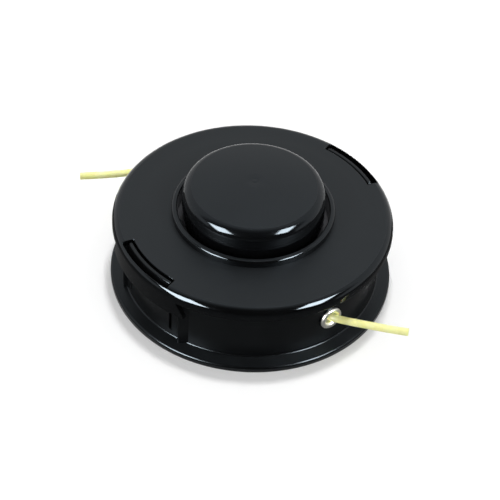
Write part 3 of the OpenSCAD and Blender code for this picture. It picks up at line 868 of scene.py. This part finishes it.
# %% Make the housing
breaks = both_at(LATCH_AZ, -SLIT_HALF, -TONGUE_HALF, TONGUE_HALF, SLIT_HALF)
breaks += both_at(EYELET_AZ, -WINDOW_HALF, WINDOW_HALF)
breaks += range(30, 360, 60)
shell = Moulding(shared_azimuths(breaks, AZIMUTH_STEP))
sweep_foot(shell)
sweep_wall(shell)
add_latches(shell)
for side in EYELET_TURNS:
    shell.ring(round_eyelet(side), EYELET_PAD_R, EYELET_PAD_OUT)
shell.blocks(*HOUSING_LUG, HOUSING_LUGS)
shell.ribs(FLOOR_RIB_R, FLOOR_RIB_Z, FLOOR_RIBS)
stand_in(shell.finish("housing_shell", HOUSING_BLACK), "housing", "housing")

# %% [markdown]
# ## Knob
#
# The knob is a cap with a slightly domed top and a generous edge radius, so that it slides when
# it is knocked on the ground. It is hollow, with a screw boss and six ribs below. The mould's
# gate leaves a small mark in the middle of the top.

# %% Make the knob
KNOB_R = 28.3
KNOB_WALL = 2.2
KNOB_LOW_Z = 26.95
KNOB_TOP_Z = 48.1
KNOB_EDGE_R = 4.6
DOME_R = 135.0
DOME_RINGS = 8
BOSS_R = 5.2
BOSS_HOLE_R = 2.45
BOSS_HOLE_Z = 36.9
KNOB_RIB_R = (BOSS_R - 0.3, 24.8)
KNOB_RIB_Z = (37.2, 43.6)
KNOB_RIBS = range(0, 360, 60)
GATE = [(1.9, 0.0), (1.45, -0.1), (0.95, -0.13), (0.6, -0.03), (0.0, 0.0)]


def dome_z(radius, inset=0.0):
    """Height of the knob's domed top, or of its underside, at a radius."""
    reach = DOME_R - inset
    return KNOB_TOP_Z - DOME_R + math.sqrt(reach * reach - radius * radius)


def knob_edge(inset, steps):
    """Rounded edge of the knob, from its side up to where it touches the dome."""
    r = KNOB_EDGE_R - inset
    side = KNOB_R - inset - r
    reach = DOME_R - inset - r
    centre = (side, KNOB_TOP_Z - DOME_R + math.sqrt(reach * reach - side * side))
    touch = math.degrees(math.asin(side / reach))
    return arc(centre, r, 0, 90 - touch, steps)


shell = Moulding(shared_azimuths([0], AZIMUTH_STEP))
inner_r = KNOB_R - KNOB_WALL
edge = knob_edge(0, 16)
shares = [k / DOME_RINGS for k in range(1, DOME_RINGS)]
rings = [edge[-1][0] * (1 - share) + GATE[0][0] * share for share in shares]
shell.sweep([(inner_r, KNOB_LOW_Z), (KNOB_R, KNOB_LOW_Z)] + edge
            + [(r, dome_z(r)) for r in rings] + [(r, dome_z(r) + rise) for r, rise in GATE])
shell.sweep([(inner_r, KNOB_LOW_Z)] + knob_edge(KNOB_WALL, 8)
            + [(BOSS_R, dome_z(BOSS_R, KNOB_WALL)), (BOSS_R, KNOB_LOW_Z),
               (BOSS_HOLE_R, KNOB_LOW_Z), (BOSS_HOLE_R, BOSS_HOLE_Z), (0, BOSS_HOLE_Z)])
shell.ribs(KNOB_RIB_R, KNOB_RIB_Z, KNOB_RIBS)
stand_in(shell.finish("knob_cap", KNOB_BLACK), "spool", "bump_knob")

# %% [markdown]
# ## Eyelets
#
# A metal eyelet lines each hole in the wall, because the line would saw through plastic. It is a
# short tube whose outer end is rolled into a bell mouth, with a small lip inside the wall.

# %% Make the eyelets
BARREL_IN_R = 2.4
BARREL_R = 3.1
BARREL_LEN = 2.8
BARREL_LIP = (1.0, 0.7)
EYELET_R = 4.7
EYELET_EDGE_R = 0.6
MOUTH_R = 1.4
FINE_STEP = 5


def turned_piece(name, material, outline, place=upright, breaks=(0,), bevel=0.12):
    """Piece with one closed outline that is turned in small steps."""
    shell = Moulding(shared_azimuths(breaks, FINE_STEP), place)
    shell.sweep(outline)
    return shell.finish(name, material, bevel)


def make_eyelet(side):
    """Eyelet, turned round its own axis."""
    lip_r, end = BARREL_R + BARREL_LIP[0], -BARREL_LEN - BARREL_LIP[1]
    outline = [(BARREL_IN_R, end)]
    outline += arc((BARREL_IN_R + MOUTH_R, 1 - MOUTH_R), MOUTH_R, 180, 90, 8)
    outline += arc((EYELET_R - EYELET_EDGE_R, 1 - EYELET_EDGE_R), EYELET_EDGE_R, 90, 0, 5)
    outline += [(EYELET_R, 0.0), (BARREL_R, 0.0), (BARREL_R, -BARREL_LEN), (lip_r, -BARREL_LEN),
                (lip_r, end), (BARREL_IN_R, end)]
    name = "eyelet_ring_" + side
    eyelet = turned_piece(name, EYELET_METAL, outline, round_eyelet(side), bevel=0.08)
    stand_in(eyelet, "housing", "eyelet_" + side)


for side in EYELET_TURNS:
    make_eyelet(side)

# %% [markdown]
# ## Spool
#
# The spool is a grey reel with two chambers, one for each end of the line. Its sleeve turns on
# the hub, its web carries the knob, and rings of lugs above and below catch those of the cover
# and the housing. Each chamber's drum has two holes for the line's inner end, and the divider
# has a notch at each side where the line crosses over.

# %% Outlines of the spool
SPOOL_R = 47.0
DIVIDER_R = (39.0, 45.5)
DRUM_R = (24.5, 26.5)
SLEEVE_R = (9.7, 12.0)
SPIGOT_R = (23.9, 25.9)
SCREW_HOLE_R = 2.45
LOW_LUG_Z = 7.7
LOW_FLANGE_Z = (10.3, 11.9)
DIVIDER_Z = (18.0, 19.2)
HIGH_FLANGE_Z = (25.3, 26.9)
WEB_Z = 24.9
SPIGOT_Z = 29.9
NOTCH_HALF = 2.5
HOLE_HALF = 3.68
HOLES_Z = {0: (13.25, 16.65), 90: (20.55, 23.95)}


def sweep_reel(reel):
    """The sleeve, the drum, the flanges, the web and the spigot that carries the knob."""
    inner, outer = DRUM_R
    low, high = LOW_FLANGE_Z[1], HIGH_FLANGE_Z[0]
    top = HIGH_FLANGE_Z[1]
    reel.sweep([(SCREW_HOLE_R, top), (SCREW_HOLE_R, WEB_Z), (SLEEVE_R[0], WEB_Z),
                (SLEEVE_R[0], LOW_LUG_Z), (SLEEVE_R[1], LOW_LUG_Z), (SLEEVE_R[1], WEB_Z),
                (inner, WEB_Z), (inner, HOLES_Z[90][1])])
    reel.sweep([(inner, HOLES_Z[90][0]), (inner, HOLES_Z[0][1])])
    reel.sweep([(inner, HOLES_Z[0][0]), (inner, LOW_FLANGE_Z[0]), (SPOOL_R, LOW_FLANGE_Z[0]),
                (SPOOL_R, low), (outer, low), (outer, HOLES_Z[0][0])])
    reel.sweep([(outer, HOLES_Z[0][1]), (outer, DIVIDER_Z[0]), (DIVIDER_R[0], DIVIDER_Z[0])])
    reel.sweep([(DIVIDER_R[0], DIVIDER_Z[1]), (outer, DIVIDER_Z[1]), (outer, HOLES_Z[90][0])])
    reel.sweep([(outer, HOLES_Z[90][1]), (outer, high), (SPOOL_R, high), (SPOOL_R, top),
                (SPIGOT_R[1], top), (SPIGOT_R[1], SPIGOT_Z), (SPIGOT_R[0], SPIGOT_Z),
                (SPIGOT_R[0], top), (SCREW_HOLE_R, top)])


def sweep_openings(reel):
    """The divider's rim with its notches, and the drum's bands with their holes."""
    rim = rectangle(DIVIDER_R, DIVIDER_Z)
    reel.sweep(rim, both(NOTCH_HALF, 180 - NOTCH_HALF, 0))
    reel.sweep([rim[0], rim[3]], both(-NOTCH_HALF, NOTCH_HALF, 0))
    reel.cap(rim, both_at(0, -NOTCH_HALF, NOTCH_HALF))
    for azimuth, heights in HOLES_Z.items():
        reel.opening(DRUM_R, heights, HOLE_HALF, azimuth,
                     both(HOLE_HALF, 180 - HOLE_HALF, azimuth))


print("Spool", 2 * SPOOL_R, "mm across")

# %% Make the spool
SPOOL_STEP = 2.5
SPOOL_TOP_Z = HIGH_FLANGE_Z[1]
SPOOL_LUGS_Z = ((SPOOL_TOP_Z - SINK, SPOOL_TOP_Z + LUG_H), (LOW_LUG_Z, LOW_LUG_Z + LUG_H + SINK))
SPOOL_LUGS = range(0, 360, 60)
SPOOL_RIB_R = (15.6, 26.0)
SPOOL_RIB_Z = (DIVIDER_Z[0], WEB_Z + 0.2)
SPOOL_RIBS = range(30, 390, 60)

breaks = both_at(0, -NOTCH_HALF, NOTCH_HALF, -HOLE_HALF, HOLE_HALF)
breaks += both_at(90, -HOLE_HALF, HOLE_HALF)
reel = Moulding(shared_azimuths(breaks, SPOOL_STEP))
sweep_reel(reel)
sweep_openings(reel)
for heights in SPOOL_LUGS_Z:
    reel.blocks(LUG_R, heights, LUG_HALF, SPOOL_LUGS)
reel.ribs(SPOOL_RIB_R, SPOOL_RIB_Z, SPOOL_RIBS)
spool = reel.finish("spool_reel", SPOOL_GREY, bevel=0.18)
stand_in(spool, "spool", "spool")

# %% [markdown]
# ## Wound line
#
# Twelve turns lie in each chamber: two side by side in each of six layers. A turn runs level
# for most of its way, and then crosses over to the next row or climbs to the next layer.

# %% Wind the line
WOUND_R = 1.475
WOUND_SIDES = 12
WOUND_FROM_R = 28.075
LAYER_STEP = 2.99
TURNS = 12
TURN_STEPS = 72
CROSSING = 0.12
ROW_OF_TURN = (0, 1, 1, 0)
ROW_Z = (0.1 + WOUND_R, 6.0 - WOUND_R)
CHAMBER_LOW_Z = {"lower": 11.9, "upper": 19.2}


def ease(share):
    """Smooth step from 0 to 1."""
    t = min(max(share, 0.0), 1.0)
    return t * t * (3 - 2 * t)


def wound_path(low_z):
    """Centre line of the turns in one chamber, in metres."""
    spots = [(WOUND_FROM_R + LAYER_STEP * (k // 2), low_z + ROW_Z[ROW_OF_TURN[k % 4]])
             for k in range(TURNS)]
    spots += [spots[-1]] * 2
    path = []
    for step in range(TURNS * TURN_STEPS + 1):
        k, part = divmod(step, TURN_STEPS)
        here, there = spots[k], spots[k + 1]
        share = ease((part / TURN_STEPS - 1 + CROSSING) / CROSSING)
        radius, height = (a + (b - a) * share for a, b in zip(here, there))
        path.append(upright(radius, height, 360 / TURN_STEPS * step))
    return path


def wind(chamber):
    """The wound line in one chamber."""
    path = wound_path(CHAMBER_LOW_Z[chamber])
    winding = tube("wound_line_" + chamber, path, WOUND_R * MM, WOUND_SIDES, LINE_YELLOW)
    stand_in(winding, "spool", "line_winding_" + chamber)
    print(winding.name, "holds", round(path_length(path), 2), "m of line")


for chamber in CHAMBER_LOW_Z:
    wind(chamber)

# %% [markdown]
# ## Feed spring
#
# The spring has five and a half turns of 1.8 mm wire. The first and last turns lie nearly flat,
# so that it stands square on its washer and on the web.

# %% Make the feed spring
WIRE_R = 0.9
WIRE_SIDES = 14
COIL_R = 13.8
COIL_TURNS = 5.5
COIL_STEPS = 60
COIL_Z = (4.7, 24.6)
END_TURN = 0.75
END_RISE = 2.08 * WIRE_R


def coil_height(turn):
    """Height of the wire's centre after so many turns."""
    low, high = COIL_Z[0] + WIRE_R, COIL_Z[1] - WIRE_R
    rise = min(max((turn - END_TURN) / (COIL_TURNS - 2 * END_TURN), 0), 1)
    ends = min(turn, END_TURN) + max(turn - COIL_TURNS + END_TURN, 0)
    return low + END_RISE * ends / END_TURN + (high - low - 2 * END_RISE) * rise


steps = round(COIL_TURNS * COIL_STEPS)
path = [upright(COIL_R, coil_height(k / COIL_STEPS), 360 / COIL_STEPS * k)
        for k in range(steps + 1)]
coil = tube("feed_coil", path, WIRE_R * MM, WIRE_SIDES, SPRING_STEEL)
stand_in(coil, "spring_seat", "feed_spring")
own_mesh(coil)
print("Wire in the spring:", round(path_length(path), 3), "m")

# %% [markdown]
# ## Arbor, screw and washers
#
# The arbor is a steel nut with a long shank: its hexagon sits in the hub, and its left-hand M10
# thread takes the machine's shaft. A helix of small ridges on the bore shows the thread. The
# screw that holds the knob has a hexagon socket and a thread that cuts into the knob's boss.

# %% Make the arbor
ARBOR_R = 6.25
ARBOR_Z = (0.4, 17.0)
ARBOR_HEX_Z = 12.05
ARBOR_FLATS = 14.0
ARBOR_CHAMFER = 0.3
GROOVE_R = 5.7
GROOVE_Z = (1.05, 2.15)
BORE_R = 4.95
BORE_CHAMFER = 0.5
THREAD_Z = (1.1, 16.3)
THREAD_PITCH = 1.25
THREAD_RIDGE = 0.58
THREAD_SIDES = 6
THREAD_STEPS = 36


def cut_thread(piece, radius, heights, pitch, hand, ridge):
    """Adds a round ridge along a helix: hand is 1 for a right-hand thread, -1 for a left-hand one."""
    z0, z1 = heights
    steps = round((z1 - z0) / pitch * THREAD_STEPS)
    path = [upright(radius, z0 + (z1 - z0) * k / steps, hand * 360 / THREAD_STEPS * k)
            for k in range(steps + 1)]
    thread = tube("thread", path, ridge * MM, THREAD_SIDES, PLAIN_STEEL)
    mesh = bmesh.new()
    mesh.from_mesh(piece.data)
    mesh.from_mesh(thread.data)
    mesh.to_mesh(piece.data)
    mesh.free()
    bpy.data.objects.remove(thread)


low, top = ARBOR_Z
mouth = BORE_R + BORE_CHAMFER
head = hexagon(ARBOR_FLATS)
outline = [(mouth, top), (BORE_R, top - BORE_CHAMFER), (BORE_R, low + BORE_CHAMFER), (mouth, low),
           (ARBOR_R - ARBOR_CHAMFER, low), (ARBOR_R, low + ARBOR_CHAMFER),
           (ARBOR_R, GROOVE_Z[0]), (GROOVE_R, GROOVE_Z[0]), (GROOVE_R, GROOVE_Z[1]),
           (ARBOR_R, GROOVE_Z[1]), (ARBOR_R, ARBOR_HEX_Z), (head, ARBOR_HEX_Z), (head, top),
           (mouth, top)]
arbor = turned_piece("arbor_nut", PLAIN_STEEL, outline, breaks=range(30, 360, 60))
cut_thread(arbor, BORE_R, THREAD_Z, THREAD_PITCH, -1, THREAD_RIDGE)
stand_in(arbor, "housing", "arbor")

# %% Make the screw and the washers
SCREW_HEAD_R = 4.2
SCREW_HEAD_Z = (21.9, 24.1)
SCREW_CHAMFER = 0.4
SCREW_NECK = (2.4, 25.4)
SCREW_CORE_R = 2.0
SCREW_CORE_Z = (25.8, 35.3)
SCREW_TIP = (0.5, 36.9)
SCREW_THREAD_R = 2.1
SCREW_THREAD_Z = (26.2, 35.1)
SCREW_PITCH = 1.1
SCREW_RIDGE = 0.3
SOCKET_FLATS = 3.98
SOCKET_Z = 23.3
WASHERS = {
    "thrust_washer": ("spring_washer", (12.5, 17.5), (3.45, 4.65), "spring_seat"),
    "screw_washer": ("knob_washer", (2.6, 5.5), (24.1, 24.9), "spool"),
}

low, high = SCREW_HEAD_Z
socket = hexagon(SOCKET_FLATS, 0)
outline = [(0, SOCKET_Z), (socket, SOCKET_Z), (socket, low), (SCREW_HEAD_R - SCREW_CHAMFER, low),
           (SCREW_HEAD_R, low + SCREW_CHAMFER), (SCREW_HEAD_R, high), (SCREW_NECK[0], high),
           SCREW_NECK, (SCREW_CORE_R, SCREW_CORE_Z[0]), (SCREW_CORE_R, SCREW_CORE_Z[1]), SCREW_TIP,
           (0, SCREW_TIP[1])]
screw = turned_piece("knob_fixing", PLAIN_STEEL, outline, breaks=range(0, 360, 60), bevel=0.1)
cut_thread(screw, SCREW_THREAD_R, SCREW_THREAD_Z, SCREW_PITCH, 1, SCREW_RIDGE)
stand_in(screw, "spool", "knob_screw")

for node, (name, radii, heights, body) in WASHERS.items():
    outline = rectangle(radii, heights)
    washer = turned_piece(name, PLAIN_STEEL, outline + outline[:1])
    stand_in(washer, body, node)

# %% [markdown]
# ## Arbor clip
#
# The snap ring under the hub is a flat stamping with two holes for pliers. Its CAD mesh has the
# right shape, so it stays, and only takes the finish of spring steel.

# %% Finish the clip
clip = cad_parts["arbor_clip"]
clip.data.materials.clear()
clip.data.materials.append(SPRING_STEEL)
print("Clip finished in", SPRING_STEEL.name)

# %% [markdown]
# ## Studio
#
# The head stands on white paper in a white surround. Black plastic shows what it reflects, so
# the light comes from two softboxes, and black cards that only reflections see give the dark
# rim and walls of the photograph, as a product photographer's flags do. The key lamp is small
# and high, so that the shadow on the floor stays close to the flange. The line ends throw no
# shadow, because the photograph's white ground was cleaned round them.

# %% Floor and surround
WHITE = (1, 1, 1, 1)
PAPER = {"Base Color": (0.8, 0.8, 0.8, 1), "Roughness": 0.9, "Specular IOR Level": 0.0}
FLOOR_LIFT = 0.17
FLOOR_SIZE = 6000.0
FLOOR_Z_GAP = 0.02
AMBIENT = 0.72


def make_backdrop(name, points, faces, material):
    """Mesh of the studio, from points in millimetres, that isn't part of the head."""
    mesh = bpy.data.meshes.new(name)
    mesh.from_pydata([Vector(point) * MM for point in points], [], faces)
    mesh.materials.append(material)
    backdrop = link(name, mesh)
    return backdrop


def seen_directly(tree):
    """1 for camera, glossy and transmission rays, and 0 for the others."""
    path = add_node(tree, "LightPath")
    seen = maths(tree, "MAXIMUM", (path, "Is Camera Ray"), (path, "Is Glossy Ray"))
    return maths(tree, "MAXIMUM", seen, (path, "Is Transmission Ray"))


material, tree, shader = new_material("white_sweep", PAPER)
lift = maths(tree, "MULTIPLY", seen_directly(tree), FLOOR_LIFT)
glow = add_node(tree, "Emission", {"Color": WHITE, "Strength": lift})
lit = add_node(tree, "AddShader", {0: (shader, "BSDF"), 1: (glow, "Emission")})
feed(tree.nodes["Material Output"], {"Surface": (lit, "Shader")})

s, z = FLOOR_SIZE / 2, -FLOOR_Z_GAP
make_backdrop("floor", [(-s, -s, z), (s, -s, z), (s, s, z), (-s, s, z)], [(0, 1, 2, 3)], material)

world = bpy.data.worlds.new("white_surround")
bpy.context.scene.world = world
world.use_nodes = True
tree = world.node_tree
level = spread(tree, seen_directly(tree), AMBIENT, 1.0)
feed(tree.nodes["Background"], {"Color": WHITE, "Strength": level})

print("Floor", FLOOR_SIZE, "mm wide, ambient level", AMBIENT)

# %% [markdown]
# ## Lamps
#
# A lamp is placed by its azimuth and elevation, and its size is the angle that it takes up as
# the head sees it, because that sets how long its highlights are. The softboxes light only what
# shines, and the key lamp lights only what is matt and throws the shadow.

# %% Make the lamps
LAMP_DISTANCE = 0.8
SOFTBOX_RADIANCE = 43
SOFTBOXES = {
    "softbox_right": {"azimuth": -35, "elevation": 40, "wide": 18, "high": 31, "roll": -38},
    "softbox_left": {"azimuth": 222, "elevation": 26, "wide": 25, "high": 31, "roll": 38},
}
KEY = {"azimuth": 80, "elevation": 80.5, "wide": 6, "high": 6, "roll": 0}
KEY_RADIANCE = 150


def make_lamp(name, radiance, azimuth, elevation, wide, high, roll):
    """Rectangular lamp that faces the head and isn't seen itself; all angles in degrees."""
    width, height = (2 * LAMP_DISTANCE * math.tan(math.radians(a / 2)) for a in (wide, high))
    e = math.radians(elevation)
    away = Vector((*turned(math.cos(e), 0, azimuth), math.sin(e)))
    data = bpy.data.lights.new(name, "AREA")
    data.shape = "RECTANGLE"
    data.size = width
    data.size_y = height
    data.energy = radiance * math.pi * width * height
    lamp = link(name, data)
    lamp.location = AIM + away * LAMP_DISTANCE
    lamp.rotation_euler = look_along(-away, roll)
    lamp.visible_camera = False
    return lamp


for name, angles in SOFTBOXES.items():
    make_lamp(name, SOFTBOX_RADIANCE, **angles).visible_diffuse = False
make_lamp("key", KEY_RADIANCE, **KEY).visible_glossy = False
for tail in tails:
    tail.visible_shadow = False
print("Lamps:", len(SOFTBOXES) + 1)

# %% [markdown]
# ## Black cards
#
# One card curves up from the floor in front of the head, over the camera, to a little behind
# the zenith, where it fades to white. The other lies on the floor and glows faintly: it is a
# painted dark reflection of the floor, which only reflections see, while the camera still sees
# white paper. It leaves the white floor free close behind the head.

# %% Helpers for the cards
CARD_R = 1300
CARD_WIDE = 2500
CARD_STEP = 4
CARD_FADE = 56
CARD_END = 96


def dark_card(name, points, faces, strength):
    """Card that only reflections see; strength is a number, or a function of the node tree."""
    material, tree, _ = new_material(name, {})
    level = strength(tree) if callable(strength) else strength
    glow = add_node(tree, "Emission", {"Color": WHITE, "Strength": level})
    feed(tree.nodes["Material Output"], {"Surface": (glow, "Emission")})
    card = make_backdrop(name, points, faces, material)
    for ray in ("camera", "diffuse", "shadow", "transmission", "volume_scatter"):
        setattr(card, "visible_" + ray, False)


def card_fade(tree):
    """Level that goes from black to white towards the back edge of the front card."""
    place = (add_node(tree, "SeparateXYZ", {"Vector": on_object(tree)}), "Y")
    start, end = (-CARD_R * MM * math.cos(math.radians(a)) for a in (CARD_FADE, CARD_END))
    return maths(tree, "POWER", spread(tree, place, 0.0, 1.0, start, end), 2.0)


print("Front card", CARD_R, "mm from the axis")

# %% Make the cards
FLOOR_CARD_GLOW = 0.12
FLOOR_CARD_R = (59, 330, 1400)
FLOOR_CARD_Z = 0.05
FLOOR_CARD_STEP = 5
OPEN_BEHIND = (35, 145)

angles = [math.radians(a) for a in range(0, CARD_END + 1, CARD_STEP)]
points = [(x, -CARD_R * math.cos(a), CARD_R * math.sin(a))
          for a in angles for x in (-CARD_WIDE, CARD_WIDE)]
faces = [(2 * i, 2 * i + 1, 2 * i + 3, 2 * i + 2) for i in range(len(angles) - 1)]
dark_card("front_card", points, faces, card_fade)

azimuths = range(0, 360, FLOOR_CARD_STEP)
count = len(azimuths)
points = [(*turned(r, 0, azimuth), FLOOR_CARD_Z) for r in FLOOR_CARD_R for azimuth in azimuths]
faces = []
for i, azimuth in enumerate(azimuths):
    beside = not OPEN_BEHIND[0] <= azimuth < OPEN_BEHIND[1]
    in_front = azimuth >= 180
    for row in [0] * beside + [count] * in_front:
        near, far = row + i, row + (i + 1) % count
        faces.append((near, near + count, far + count, far))
# Painted reflection: the floor card shows a dark floor in the head's walls and flange, over the white
# paper.
dark_card("floor_card", points, faces, FLOOR_CARD_GLOW)

print("Floor card of", len(faces), "faces")

# %% Finish
bpy.context.scene.view_settings.view_transform = "Standard"
bpy.context.view_layer.update()
